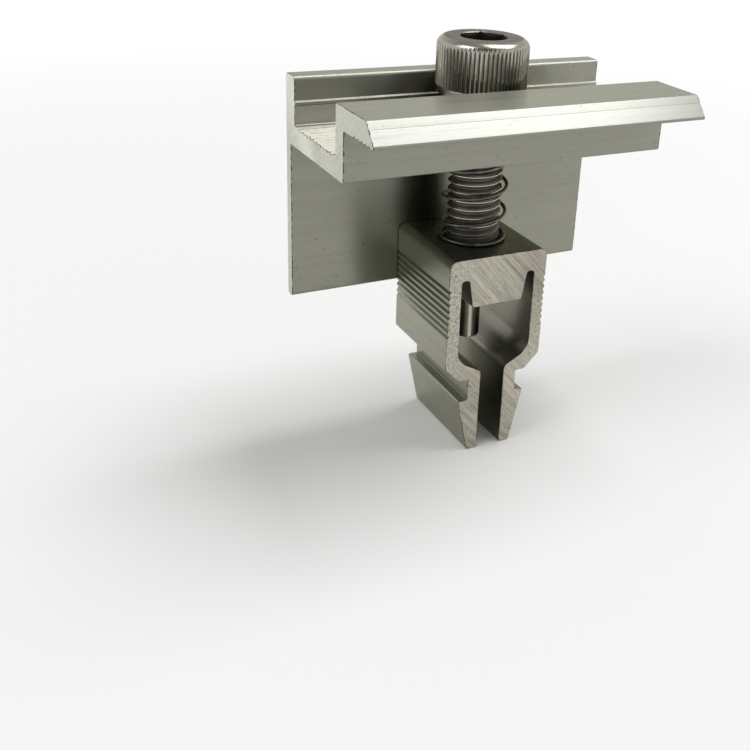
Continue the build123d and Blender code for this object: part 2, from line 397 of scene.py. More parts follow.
def clamp_corners(sizes):
    """Corners of the clamp's section as places across and up, each with its radius, counterclockwise."""
    leg_corner, outer_corner, nose_corner, tip_corner = 0.5 * MM, 0.3 * MM, 0.25 * MM, 0.2 * MM
    bead_side, bead_crest, floor_corner = 0.1 * MM, 0.15 * MM, 0.25 * MM
    bevel_corner, step_corner = 0.15 * MM, 0.05 * MM
    leg_back = CLAMP_HIGH.y
    leg_front = leg_back - sizes.leg_thickness
    upper_front = leg_back - sizes.leg_upper_thickness
    wall_inner = upper_front - sizes.channel_width
    wall_outer = wall_inner - sizes.wall_thickness
    lip_tip = CLAMP_LOW.y
    bottom, top = CLAMP_LOW.z, CLAMP_HIGH.z
    lip_bottom = top - sizes.lip_thickness
    floor_top = top - sizes.channel_depth
    floor_bottom = floor_top - sizes.floor_thickness
    bead = top - sizes.bead_drop
    bead_foot, bead_shoulder = 1.3 * sizes.bead_radius, 0.7 * sizes.bead_radius
    step_y = lip_tip + sizes.lip_bevel * (1 - sizes.step_share)
    step_z = top - (sizes.lip_thickness - sizes.lip_nose) * sizes.step_share
    pitch = sizes.floor_tooth_pitch
    floor_count = int((sizes.channel_width - 2 * sizes.tooth_margin) / pitch)
    floor_start = wall_inner + (sizes.channel_width - floor_count * pitch) / 2
    floor_teeth = teeth(floor_start, floor_count, pitch, floor_top, -sizes.floor_tooth_depth)
    lip_teeth = teeth(lip_tip + sizes.tooth_margin, sizes.lip_tooth_count, sizes.lip_tooth_pitch, lip_bottom,
                      sizes.lip_tooth_depth)
    return np.vstack([
        [(leg_back, bottom, leg_corner),
         (leg_back, top, leg_corner),
         (upper_front, top, leg_corner),
         (upper_front, bead + bead_foot, bead_side),
         (upper_front - sizes.bead_radius, bead + bead_shoulder, bead_crest),
         (upper_front - sizes.bead_radius, bead - bead_shoulder, bead_crest),
         (upper_front, bead - bead_foot, bead_side),
         (upper_front, floor_top, floor_corner)],
        floor_teeth[::-1],
        [(wall_inner, floor_top, floor_corner),
         (wall_inner, top, outer_corner),
         (lip_tip + sizes.lip_bevel, top, bevel_corner),
         (step_y, step_z, step_corner),
         (step_y + sizes.step_size, step_z - sizes.step_size, step_corner),
         (lip_tip, lip_bottom + sizes.lip_nose, nose_corner),
         (lip_tip, lip_bottom, tip_corner)],
        lip_teeth,
        [(wall_outer, lip_bottom, outer_corner),
         (wall_outer, floor_bottom, outer_corner),
         (leg_front, floor_bottom, outer_corner),
         (leg_front, bottom, leg_corner)],
    ])


def nut_corners(sizes):
    """Corners of the nut's section as places across and up, each with its radius, counterclockwise."""
    grip_corner, foot_corner, notch_corner, barb_corner = 0.08 * MM, 0.4 * MM, 0.1 * MM, 0.3 * MM
    tip_outer, tip_inner, neck_corner = 0.5 * MM, 0.2 * MM, 1.2 * MM
    knee_corner, shoulder_corner, slot_corner, boss_corner = 2.5 * MM, 1.8 * MM, 0.45 * MM, 0.4 * MM
    top, tip = NUT_HIGH.z, NUT_LOW.z
    side = NUT_HIGH.x
    inside = side - sizes.wall
    neck_inside = sizes.neck_gap / 2
    neck_outside = neck_inside + sizes.neck_wall
    slot_top = top - sizes.roof
    boss_bottom = top - sizes.boss_depth
    middles = top - sizes.grip_drop - np.arange(sizes.grip_count) * sizes.grip_pitch
    levels = (middles[:, None] + sizes.grip_width * np.array([0.5, 0, -0.5])).ravel()
    reach = side - sizes.grip_depth * np.tile([0.0, 1.0, 0.0], sizes.grip_count)
    grips = np.stack([reach, levels, np.full(len(levels), grip_corner)], 1)
    right = np.vstack([
        [(side, top, sizes.top_rounding)],
        grips,
        [(side, sizes.foot_bevel, foot_corner),
         (sizes.foot_width / 2, 0, foot_corner),
         (neck_outside, 0, notch_corner),
         (neck_outside, -sizes.notch_height, notch_corner),
         (neck_outside + sizes.barb_reach, -sizes.notch_height, barb_corner),
         (neck_inside + sizes.leg_tip, tip, tip_outer),
         (neck_inside, tip, tip_inner),
         (neck_inside, sizes.shoulder_end - sizes.shoulder_lip / 2, neck_corner),
         (neck_inside + sizes.shoulder_lip, sizes.shoulder_end, neck_corner),
         (inside - sizes.shoulder_step, sizes.shoulder_knee, knee_corner),
         (inside, sizes.shoulder_height, shoulder_corner),
         (inside, slot_top, slot_corner),
         (sizes.boss_top_width / 2, slot_top, slot_corner),
         (sizes.boss_bottom_width / 2, boss_bottom, boss_corner)],
    ])
    return np.vstack([right * (-1, 1, 1), right[::-1]])


def screw_head_rows(sizes):
    """Rows of the head, from the middle of its underside out, up, over and down into the socket.

    The radius of a knurled row is the head's less the knurl's depth times a triangle wave round the
    head. In the socket the radius is that of a hexagon, the half width over the cosine of the angle from
    the nearest flat, or that of the conical mouth where it is wider.
    """
    ridge_columns, edge_rows, mouth_rows, wall_rows = 6, 13, 6, 6
    fade_angle, fade_power = 0.5, 0.8
    chamfer_inset, chamfer_rise = 0.1 * MM, 0.12 * MM
    ledge_lead, ledge_inset, ledge_rise = 0.05 * MM, 0.1 * MM, 0.04 * MM
    ledge_share, ridge_rise = 0.6, 0.2 * MM
    lead_margins, lead_drop, mouth_drop = np.array([0.6, 0.12, 0.03]) * MM, 0.01 * MM, 0.02 * MM
    point_shares, point_drops, point_flat = (0.92, 0.5), (0.08, 0.55, 1, 1), 0.2 * MM
    head, top = SCREW_HIGH.x, SCREW_HIGH.z
    bottom = top - sizes.head_height
    band = sizes.band_diameter / 2
    band_top = bottom + sizes.band_height
    columns = ridge_columns * sizes.knurl_count
    angles = circle(columns, sizes.socket_turn)
    groove = sizes.knurl_depth * (1 - np.abs((np.arange(columns + 1) % ridge_columns) / 3 - 1))
    quarter = np.linspace(0, np.pi / 2, edge_rows)
    edge = np.stack([head - sizes.head_rounding * (1 - np.cos(quarter)),
                     top - sizes.head_rounding * (1 - np.sin(quarter)),
                     np.clip(1 - quarter / fade_angle, 0, 1) ** fade_power], 1)
    profile = np.vstack([
        [(0, bottom, 0),
         (band - sizes.band_chamfer, bottom, 0),
         (band - chamfer_inset, bottom + chamfer_rise, 0),
         (band, bottom + sizes.band_chamfer, 0),
         (band, band_top - ledge_lead, 0),
         (band, band_top, 0),
         (head - ledge_inset, band_top + ledge_rise, ledge_share),
         (head, band_top + ridge_rise, 1)],
        edge,
    ])
    outside = profile[:, :1] - profile[:, 2:] * groove
    flat = sizes.socket_width / 2
    corner = flat / math.cos(math.pi / 6)
    hexagon = flat / np.cos((angles - sizes.socket_turn) % (math.pi / 3) - math.pi / 6)
    cone = np.linspace(0, corner - flat, mouth_rows)
    mouth = np.maximum(hexagon, (corner - cone)[:, None])
    lead = lead_margins[:, None] + mouth[:1]
    wall = np.broadcast_to(hexagon, (wall_rows, columns + 1))
    wall_heights = top - np.linspace(corner - flat, sizes.socket_depth, wall_rows + 1)[1:]
    point = np.outer([*(share * flat for share in point_shares), point_flat, 0], np.ones(columns + 1))
    point_heights = top - sizes.socket_depth - np.array(point_drops) * sizes.socket_point
    radii = np.vstack([outside, lead, mouth, wall, point])
    heights = np.r_[profile[:, 1], top, top, top - lead_drop, top - mouth_drop - cone, wall_heights,
                    point_heights]
    return turned(radii, heights[:, None], angles)


def screw_shank_rows(sizes, columns=128):
    """Rows of the dog point and the thread, from the dog's end up into the head.

    A row of the thread follows the helix: its height is its start plus the pitch for each turn, so crests
    and roots lie along the grid. Its radius is the root's plus its share of the depth, cut by a cone at
    the lower end and by a steeper one at the upper end. Rows past either end are held there.
    """
    into_head, upper_slope = 0.4 * MM, 4
    tip_inset, tip_rise, root_lead, root_step = 0.08 * MM, 0.1 * MM, 0.15 * MM, 0.1 * MM
    angles = circle(columns)
    dog = sizes.dog_diameter / 2
    dog_end = SCREW_LOW.z
    low = dog_end + sizes.dog_length
    high = SCREW_HIGH.z - sizes.head_height + into_head
    crest = sizes.thread_diameter / 2
    end_radius = crest - sizes.thread_end_chamfer
    fractions = np.array([0, 0.06, 0.125, 0.19, 0.25, 0.35, 0.45,
                          0.54, 0.5725, 0.625, 0.6775, 0.71, 0.8, 0.9])
    shares = np.array([0.05, 0, 0, 0, 0.05, 0.36, 0.66,
                       0.94, 1, 1, 1, 0.94, 0.66, 0.36])
    turns = math.ceil((high - low) / sizes.thread_pitch) + 1
    starts = low + sizes.thread_pitch * ((np.arange(turns) - 1)[:, None] + fractions).ravel()
    heights = np.clip(starts[:, None] + sizes.thread_pitch * angles / (2 * math.pi), low, high)
    radii = crest - sizes.thread_depth * (1 - np.tile(shares, turns))[:, None]
    cone = np.minimum(end_radius + heights - low, end_radius + upper_slope * (high - heights))
    point = [(0, dog_end),
             (dog - sizes.dog_chamfer, dog_end),
             (dog - tip_inset, dog_end + tip_rise),
             (dog, dog_end + sizes.dog_chamfer),
             (dog, low - root_lead),
             (dog + root_step, low),
             (end_radius - root_step, low),
             (end_radius, low)]
    cap = [(end_radius, high), (0, high)]
    thread = turned(np.minimum(radii, cone), heights, angles)
    return np.concatenate([lathed(point, angles), thread, lathed(cap, angles)])


def washer_rows(sizes, steps=119):
    """Rows of the split washer: a rounded rectangle carried round one open turn, rising evenly.

    At each end the section is drawn in a little and then shrinks to a point, which closes the turn.
    """
    outer, inner = WASHER_HIGH.x, sizes.inner_diameter / 2
    half = sizes.thickness / 2
    radius, width = (outer + inner) / 2, (outer - inner) / 2
    corners = np.array([(across * width, up * half, sizes.soft_edge)
                        for across, up in ((-1, -1), (1, -1), (1, 1), (-1, 1))])
    section, outward, _ = rounded_outline(corners)
    section, outward = np.vstack([section, section[:1]]), np.vstack([outward, outward[:1]])
    turned_by = 2 * math.pi - sizes.gap
    draw_in = sizes.soft_edge / 2
    first = draw_in / (radius * turned_by)
    share = np.r_[0, 0, np.linspace(first, 1 - first, steps), 1, 1]
    size = np.r_[0, np.ones(steps + 2), 0][:, None, None]
    inset = np.r_[0, draw_in, np.zeros(steps), draw_in, 0][:, None, None]
    sections = size * section - inset * outward
    middle = WASHER_LOW.z + half + share * (WASHER_HIGH.z - WASHER_LOW.z - sizes.thickness)
    angles = (share * turned_by)[:, None]
    return turned(radius + sections[..., 0], middle[:, None] + sections[..., 1], angles)


def spring_rows(sizes, steps=420, columns=20):
    """Rows of the spring: the wire's round section carried along its centre line.

    The centre line turns at an even rate. Its height stays level through the closed coils and rises by
    the pitch for each open turn, and its radius grows at the ends with the square root of how far into
    the closed coil the point is.
    """
    wire = sizes.wire_diameter / 2
    low, high = SPRING_LOW.z + wire, SPRING_HIGH.z - wire
    open_turns = (high - low) / sizes.pitch
    total = open_turns + 2 * sizes.closed_turns
    turns = np.linspace(0, total, steps)
    near_end = np.clip(1 - np.minimum(turns, total - turns) / sizes.closed_turns, 0, None)
    coil, end = sizes.coil_diameter / 2 - wire, sizes.end_diameter / 2 - wire
    radius = coil + (end - coil) * np.sqrt(near_end)
    angle = sizes.phase + 2 * math.pi * (turns - sizes.closed_turns)
    height = low + np.clip(turns - sizes.closed_turns, 0, open_turns) * sizes.pitch
    path = turned(radius, height, angle)
    along = np.gradient(path, axis=0)
    along /= np.linalg.norm(along, axis=1)[:, None]
    out = turned(1.0, 0.0, angle)
    out -= along * (out * along).sum(1)[:, None]
    out /= np.linalg.norm(out, axis=1)[:, None]
    side = np.cross(along, out)
    around = circle(columns)[:, None]
    rows = np.r_[0, np.arange(steps), steps - 1]
    path, out, side = path[rows][:, None], out[rows][:, None], side[rows][:, None]
    thickness = np.r_[0, np.full(steps, wire), 0][:, None, None]
    return path + thickness * (out * np.cos(around) + side * np.sin(around))


def fill(made, inputs):
    """Set or link a node's inputs."""
    for name, value in inputs.items():
        if isinstance(value, bpy.types.NodeSocket):
            made.id_data.links.new(value, made.inputs[name])
        else:
            made.inputs[name].default_value = value


def node(kind, inputs, **settings):
    """Add a node beside those that feed it, set its options, and set or link its inputs."""
    tree = next(value.id_data for value in inputs.values() if isinstance(value, bpy.types.NodeSocket))
    made = tree.nodes.new(kind)
    for name, value in settings.items():
        setattr(made, name, value)
    fill(made, inputs)
    return made


def maths(operation, first, *others):
    """The result of a sum on one value, or on two or more values taken in order."""
    if not others:
        return node("ShaderNodeMath", {0: first}, operation=operation).outputs[0]
    for value in others:
        first = node("ShaderNodeMath", {0: first, 1: value}, operation=operation).outputs[0]
    return first


def times(*values):
    """The product of the values."""
    return maths("MULTIPLY", *values)


def plus(*values):
    """The sum of the values."""
    return maths("ADD", *values)


def minus(first, second):
    """The first value less the second."""
    return maths("SUBTRACT", first, second)


def highest(*values):
    """The highest of the values."""
    return maths("MAXIMUM", *values)


def above(value, limit):
    """One where the value is above the limit, and nothing elsewhere."""
    return maths("GREATER_THAN", value, limit)


def below(value, limit):
    """One where the value is below the limit, and nothing elsewhere."""
    return maths("LESS_THAN", value, limit)


def dot(first, second):
    """How far the first vector reaches along the second."""
    return node("ShaderNodeVectorMath", {0: first, 1: second}, operation="DOT_PRODUCT").outputs["Value"]


def scaled(first, second):
    """The first vector with each of its parts multiplied by the second's."""
    return node("ShaderNodeVectorMath", {0: first, 1: second}, operation="MULTIPLY").outputs["Vector"]


def length(vector):
    """How long a vector is."""
    return node("ShaderNodeVectorMath", {0: vector}, operation="LENGTH").outputs["Value"]


def separated(place):
    """The X, Y and Z values of a place."""
    return node("ShaderNodeSeparateXYZ", {0: place}).outputs


def remap(value, low, high, start=0.0, end=1.0):
    """The value moved from one range to another and held inside it."""
    limits = {"Value": value, "From Min": low, "From Max": high, "To Min": start, "To Max": end}
    return node("ShaderNodeMapRange", limits).outputs["Result"]


def blended(share, first, second, kind="RGBA"):
    """A colour, or a value of kind FLOAT, between two by a share."""
    first_at, second_at, result_at = {"RGBA": (6, 7, 2), "FLOAT": (2, 3, 0)}[kind]
    inputs = {0: share, first_at: first, second_at: second}
    return node("ShaderNodeMix", inputs, data_type=kind).outputs[result_at]


def noise(place, scale, detail, roughness=0.5):
    """A noise that lies round one half."""
    inputs = {"Vector": place, "Scale": scale, "Detail": detail, "Roughness": roughness}
    return node("ShaderNodeTexNoise", inputs).outputs["Fac"]


def bump(height, strength, depth):
    """Directions for a surface with bumps of that depth."""
    return node("ShaderNodeBump", {"Height": height, "Strength": strength, "Distance": depth}).outputs[0]


def opaque(shade):
    """A colour of three parts as the four numbers that a socket takes."""
    return (*shade, 1)


def effect(name, inputs, outputs):
    """A new shader node group whose inputs have these defaults and whose outputs are values."""
    tree = bpy.data.node_groups.new(name, "ShaderNodeTree")
    for label, default in inputs.items():
        kind = "NodeSocketVector" if isinstance(default, tuple) else "NodeSocketFloat"
        tree.interface.new_socket(name=label, in_out="INPUT", socket_type=kind).default_value = default
    for label in outputs:
        tree.interface.new_socket(name=label, in_out="OUTPUT", socket_type="NodeSocketFloat")
    return tree, tree.nodes.new("NodeGroupInput").outputs, tree.nodes.new("NodeGroupOutput")


def place_effect(name, maker, inputs):
    """Put a shared effect into a material with its own values. It is made when it is first asked for."""
    group = bpy.data.node_groups.get(name) or maker(name)
    return node("ShaderNodeGroup", inputs, node_tree=group).outputs


def die_lines(name):
    """Fine lines that the die leaves along the metal, and a few thin scratches: noise stretched one way."""
    tree, given, result = effect(name, {"Vector": (0, 0, 0), "Stretch": (5, 1200, 1200)},
                                 ("Height", "Streaks", "Scratches"))
    relief = 3.0
    stretched = scaled(given["Vector"], given["Stretch"])
    fine = noise(stretched, scale=7.0, detail=1.0)
    broad = noise(stretched, scale=1.0, detail=2.0, roughness=0.6)
    thin = remap(noise(stretched, scale=4.0, detail=0.0), 0.27, 0.24)
    patches = remap(noise(given["Vector"], scale=130.0, detail=2.0), 0.55, 0.65)
    fill(result, {
        "Height": plus(times(broad, relief), fine),
        "Streaks": remap(broad, 0.3, 0.7),
        "Scratches": times(thin, patches),
    })
    return tree


def saw_marks(name):
    """Marks of a saw on a cut end: streaks along the blade's path, with torn, gritty and smeared patches."""
    inputs = {"Vector": (0, 0, 0), "Across": (0.7, 0, 0.7), "Along": (-0.7, 0, 0.7)}
    tree, given, result = effect(name, inputs, ("Height", "Shade", "Smear"))
    across_scale, along_scale = 1500.0, 55.0
    place = given["Vector"]
    path = node("ShaderNodeCombineXYZ", {"X": times(dot(place, given["Across"]), across_scale),
                                         "Y": times(dot(place, given["Along"]), along_scale)}).outputs[0]
    streaks = noise(path, scale=1.0, detail=6.0, roughness=0.82)
    grit = noise(place, scale=2600.0, detail=4.0, roughness=0.6)
    patches = noise(place, scale=210.0, detail=2.0)
    torn = remap(patches, 0.42, 0.6)
    height = blended(torn, streaks, remap(grit, 0.0, 1.0, start=0.2, end=0.8), "FLOAT")
    pits = times(remap(grit, 0.4, 0.32, end=0.7), torn)
    shade = minus(remap(height, 0.33, 0.57), pits)
    fill(result, {
        "Height": height,
        "Shade": remap(shade, 0.0, 1.0),
        "Smear": remap(patches, 0.5, 0.36),
    })
    return tree


def specks(name):
    """Small dark specks and pits: the lowest spots of a fine noise, thinned out by a broad one."""
    tree, given, result = effect(name, {"Vector": (0, 0, 0), "Scale": 1800.0, "Amount": 0.3}, ("Mask",))
    spots = remap(noise(given["Vector"], scale=given["Scale"], detail=2.0), 0.36, 0.26)
    patches = remap(noise(given["Vector"], scale=160.0, detail=1.0), 0.4, 0.65)
    fill(result, {"Mask": times(spots, patches, given["Amount"])})
    return tree


def speckled(place, base, grime_and_shade, amount, scale):
    """The base colour with dark specks on it, and the specks' mask."""
    mask = place_effect("Specks", specks, {"Vector": place, "Amount": amount, "Scale": scale})["Mask"]
    return blended(mask, base, opaque(grime_and_shade)), mask


def new_material(name):
    """An empty node material with its output, its Principled shader and its Object coordinates."""
    material = bpy.data.materials.new(name)
    material.use_nodes = True
    nodes = material.node_tree.nodes
    nodes.clear()
    shader = nodes.new("ShaderNodeBsdfPrincipled")
    node("ShaderNodeOutputMaterial", {"Surface": shader.outputs[0]})
    return material, shader, nodes.new("ShaderNodeTexCoord").outputs["Object"]


def extruded_aluminium(finishes, part, axis, cut_at, soft_edge, blade, shaded):
    """Satin extruded aluminium with die lines along one axis, saw-cut ends and a painted burr shadow round
    them.

    The function given as shaded blends the part's lighter and darker places into the skin, among them
    painted light and painted shade.
    """
    cut_roughness, speck_roughness, line_relief = 0.5, 0.25, 0.2
    cut_margin, raggedness = 0.012 * MM, 0.9 * MM
    burr_start, burr_full = cut_at - 1.2 * soft_edge, cut_at - 0.5 * soft_edge
    streak_dirt, scratch_dirt, burr_shadow_strength = 0.07, 0.28, 0.8
    metal, cut_metal, marks, smear = [opaque(getattr(finishes, part + kind))
                                      for kind in ("", "_cut", "_marks", "_smear")]
    grime_and_shade = opaque(finishes.grime_and_shade)
    material, shader, place = new_material(part + "_aluminium")
    parts = separated(place)
    along = maths("ABSOLUTE", parts[axis])
    cut = above(along, cut_at - cut_margin)
    stretch = (5, 1200, 1200) if axis == "X" else (1200, 5, 1200)
    lines = place_effect("Die Lines", die_lines, {"Vector": place, "Stretch": stretch})
    saw = place_effect("Saw Marks", saw_marks, {"Vector": place, "Across": blade[0], "Along": blade[1]})
    # A dark ragged line just inside each cut end: the painted shadow of the burr.
    torn_edge = times(minus(noise(place, scale=1700.0, detail=3.0), 0.5), raggedness)
    burr_shadow = remap(plus(along, torn_edge), burr_start, burr_full)
    skin = shaded(place, parts, metal, grime_and_shade)
    for mask, darkening in ((lines["Streaks"], streak_dirt), (lines["Scratches"], scratch_dirt),
                       (burr_shadow, burr_shadow_strength)):
        skin = blended(times(mask, darkening), skin, grime_and_shade)
    end = blended(saw["Shade"], marks, blended(saw["Smear"], cut_metal, smear))
    base, dots = speckled(place, blended(cut, skin, end), finishes.grime_and_shade, amount=0.45, scale=2600.0)
    skin_roughness = remap(lines["Streaks"], 0.0, 1.0, start=0.31, end=0.35)
    roughness = blended(cut, skin_roughness, cut_roughness, "FLOAT")
    height = blended(cut, times(lines["Height"], line_relief), saw["Height"], "FLOAT")
    tangent = shader.id_data.nodes.new("ShaderNodeTangent")
    tangent.direction_type = "RADIAL"
    tangent.axis = axis
    fill(shader, {
        "Base Color": base,
        "Roughness": plus(roughness, times(dots, speck_roughness)),
        "Normal": bump(height, strength=0.6, depth=0.03 * MM),
        "Tangent": tangent.outputs[0],
        "Metallic": 1.0,
        "Specular Tint": (0.9, 0.9, 0.82, 1),
        "Anisotropic": 0.85,
    })
    return material


def clamp_shades(sizes, painted_light):
    """Painted highlight on the bevel and painted light low on the channel's sides, and a darker tone between
    the floor's teeth.
    """
    margin, bevel_margin, raggedness = 0.02 * MM, 0.03 * MM, 0.3 * MM
    bead_fade, floor_fade, tooth_darkening = 0.3 * MM, 0.1 * MM, 0.7
    middle = CLAMP_HIGH.y - sizes.leg_upper_thickness - sizes.channel_width / 2
    channel_side = sizes.channel_width / 2 + margin
    floor_top = CLAMP_HIGH.z - sizes.channel_depth
    channel_bottom = floor_top - 1.2 * sizes.floor_tooth_depth
    dirt_top, dirt_full = floor_top - 0.6 * sizes.floor_tooth_depth, floor_top - sizes.floor_tooth_depth
    bead = CLAMP_HIGH.z - sizes.bead_drop
    bevel_inner = CLAMP_LOW.y + sizes.lip_bevel - bevel_margin
    bevel_bottom = CLAMP_HIGH.z - sizes.lip_thickness + sizes.lip_nose + bevel_margin

    def shaded(place, parts, metal, grime_and_shade):
        across, height = parts["Y"], parts["Z"]
        in_channel = times(below(maths("ABSOLUTE", minus(across, middle)), channel_side),
                           above(height, channel_bottom))
        on_side = times(in_channel, remap(height, bead, bead - bead_fade),
                        remap(height, floor_top, floor_top + floor_fade))
        on_bevel = times(below(across, bevel_inner), above(height, bevel_bottom))
        # Painted highlight on the bevel and painted light low on the channel's sides.
        skin = blended(highest(on_bevel, on_side), metal, opaque(painted_light))
        # A darker tone between the floor's teeth, with a ragged upper edge.
        level = plus(height, times(minus(noise(place, scale=1300.0, detail=2.0), 0.5), raggedness))
        between_teeth = remap(level, dirt_top, dirt_full, end=tooth_darkening)
        return blended(times(in_channel, between_teeth), skin, grime_and_shade)
    return shaded


def nut_shades(sizes):
    """Painted shade on the nut's inner faces, between its side walls and in its neck, stronger higher up."""
    margin, fade, least_shade, most_shade = 0.02 * MM, 2 * MM, 0.3, 0.85
    wall_inner, neck_inner = NUT_HIGH.x - sizes.wall + margin, sizes.neck_gap / 2 + margin
    bore_top = NUT_HIGH.z - sizes.mouth_chamfer
    boss_bottom = NUT_HIGH.z - sizes.boss_depth

    def shaded(place, parts, metal, grime_and_shade):
        # Painted shade inside the nut's hollow, stronger higher up towards the roof.
        limit = blended(above(parts["Z"], sizes.shoulder_end), neck_inner, wall_inner, "FLOAT")
        inside = times(below(maths("ABSOLUTE", parts["X"]), limit), below(parts["Z"], bore_top))
        darkening = remap(parts["Z"], boss_bottom, boss_bottom + fade, start=least_shade, end=most_shade)
        return blended(times(inside, darkening), metal, grime_and_shade)
    return shaded


def hexagon_distance(place, start):
    """How far out a point lies, measured square to the nearest flat of a hexagon round the screw's axis."""
    flats = [(math.cos(angle), math.sin(angle), 0) for angle in start + math.pi * np.array([1, 3, 5]) / 6]
    return highest(*[maths("ABSOLUTE", dot(place, flat)) for flat in flats])


def screw_masks(place, sizes):
    """Masks of the screw's darkening, its head and its dog point.

    The darkening lies in the knurl's grooves, on the head's top, in the socket and the thread's roots, and
    just above the nut; in the socket and its mouth it is painted shade.
    """
    mouth_margin, socket_margin, dog_margin = 0.1 * MM, 0.03 * MM, 0.05 * MM
    groove_darkening, top_darkening, root_darkening, nut_darkening = 0.85, 0.55, 0.68, 0.75
    knurl_fade, top_start, top_full = 0.3 * MM, 0.12 * MM, 0.03 * MM
    height = separated(place)["Z"]
    across = length(scaled(place, (1, 1, 0)))
    head, top, nut_top = SCREW_HIGH.x, SCREW_HIGH.z, NUT_HIGH.z
    bottom = top - sizes.head_height
    knurl_top, knurl = top - 0.55 * sizes.head_rounding, sizes.knurl_depth
    crest, thread = sizes.thread_diameter / 2, sizes.thread_depth
    # Darker in the knurl's grooves, on the head's top, in the thread's roots and just above the nut.
    groove = times(remap(across, head - 0.45 * knurl, head - 0.95 * knurl, end=groove_darkening),
                   remap(height, knurl_top, knurl_top - knurl_fade))
    on_top = remap(height, top - top_start, top - top_full, end=top_darkening)
    # Painted shade in the socket and its mouth.
    in_mouth = below(across, sizes.socket_width / math.sqrt(3) - mouth_margin)
    in_socket = below(hexagon_distance(place, sizes.socket_turn), sizes.socket_width / 2 + socket_margin)
    root = remap(across, crest - 0.1 * thread, crest - 0.8 * thread, end=root_darkening)
    above_nut = times(remap(height, nut_top - 1.0 * MM, nut_top - 0.5 * MM),
                      remap(height, nut_top + 3.0 * MM, nut_top + 0.3 * MM, end=nut_darkening))
    in_head = above(height, bottom + sizes.band_height)
    in_dog = times(below(across, sizes.dog_diameter / 2 + dog_margin), below(height, bottom))
    darkening = blended(in_head, highest(root, above_nut), highest(groove, on_top, in_mouth, in_socket), "FLOAT")
    return times(darkening, minus(1.0, in_dog)), in_head, in_dog


def screw_steel(finishes, sizes):
    """Oily steel, darker in the knurl's grooves and the thread's roots, with painted shade in the socket,
    and smooth on the dog point.
    """
    darkening_strength, darkening_roughness, mark_relief = 0.97, 0.6, 0.1
    material, shader, place = new_material("screw_steel")
    darkening, in_head, in_dog = screw_masks(place, sizes)
    tint = noise(place, scale=420.0, detail=4.0)
    warmth = (0.85, 0.8, 0.74)
    warm = opaque(part * share for part, share in zip(finishes.screw, warmth))
    base = blended(remap(tint, 0.42, 0.66), opaque(finishes.screw), warm)
    base = blended(in_dog, base, opaque(finishes.polished))
    # Darker in the knurl's grooves, on the head's top, in the thread's roots and above the nut; painted
    # shade in the socket.
    base = blended(times(darkening, darkening_strength), base, opaque(finishes.grime_and_shade))
    base, _ = speckled(place, base, finishes.grime_and_shade, amount=0.5, scale=2200.0)
    marks = times(noise(place, scale=5200.0, detail=3.0), mark_relief)
    forged = times(noise(place, scale=800.0, detail=3.0, roughness=0.6), in_head)
    fill(shader, {
        "Base Color": base,
        "Roughness": plus(remap(tint, 0.3, 0.7, start=0.16, end=0.28), times(darkening, darkening_roughness)),
        "Normal": bump(plus(marks, forged), strength=0.7, depth=0.045 * MM),
        "Metallic": 1.0,
        "Specular Tint": (0.7, 0.7, 0.65, 1),
    })
    return material


def washer_steel(finishes):
    """Bright coiled steel with fine marks and dark specks."""
    material, shader, place = new_material("washer_steel")
    tint = noise(place, scale=500.0, detail=3.0)
    darker = opaque(0.7 * part for part in finishes.washer)
    base = blended(remap(tint, 0.4, 0.65), opaque(finishes.washer), darker)
    base, _ = speckled(place, base, finishes.grime_and_shade, amount=0.7, scale=2500.0)
    fill(shader, {
        "Base Color": base,
        "Roughness": remap(tint, 0.3, 0.7, start=0.24, end=0.36),
        "Normal": bump(noise(place, scale=6000.0, detail=2.0), strength=0.3, depth=0.01 * MM),
        "Metallic": 1.0,
    })
    return material


def spring_steel(finishes):
    """Dark drawn wire, brighter in worn streaks."""
    material, shader, place = new_material("spring_steel")
    wear = noise(place, scale=900.0, detail=3.0)
    bright = opaque(min(1, 2.2 * part) for part in finishes.spring)
    fill(shader, {
        "Base Color": blended(remap(wear, 0.5, 0.72), opaque(finishes.spring), bright),
        "Roughness": remap(wear, 0.3, 0.7, start=0.26, end=0.42),
        "Normal": bump(noise(place, scale=7000.0, detail=2.0), strength=0.35, depth=0.01 * MM),
        "Metallic": 1.0,
    })
    return material


class OBJECT_OT_add_end_clamp(bpy.types.Operator):
    """Add the extruded clamp with its channel, leg, lip and bolt hole."""

    bl_idname = "object.add_end_clamp"
    bl_label = "Add End Clamp"

    def execute(self, context):
        sizes, finishes = context.scene.end_clamp_sizes, context.scene.end_clamp_finishes
        low, high, edge = CLAMP_LOW.x, CLAMP_HIGH.x, sizes.soft_edge
        mesh = extruded_mesh("end_clamp", clamp_corners(sizes), low, high, edge, "X")
        floor_top = CLAMP_HIGH.z - sizes.channel_depth
        below_floor, above_floor = floor_top - sizes.floor_thickness - MM, floor_top + MM
        hole = sizes.hole_diameter / 2
        mesh = drilled(mesh, [(0, below_floor), (hole, below_floor), (hole, above_floor), (0, above_floor)])
        blade = ((0, 0.64, 0.77), (0, -0.77, 0.64))
        shaded = clamp_shades(sizes, finishes.clamp_painted_light)
        mesh.materials.append(extruded_aluminium(finishes, "clamp", "X", high, edge, blade, shaded))
        piece = add_piece("dressed_end_clamp", mesh, "end_clamp", "clamp")
        flat_shading(piece)
        return {"FINISHED"}


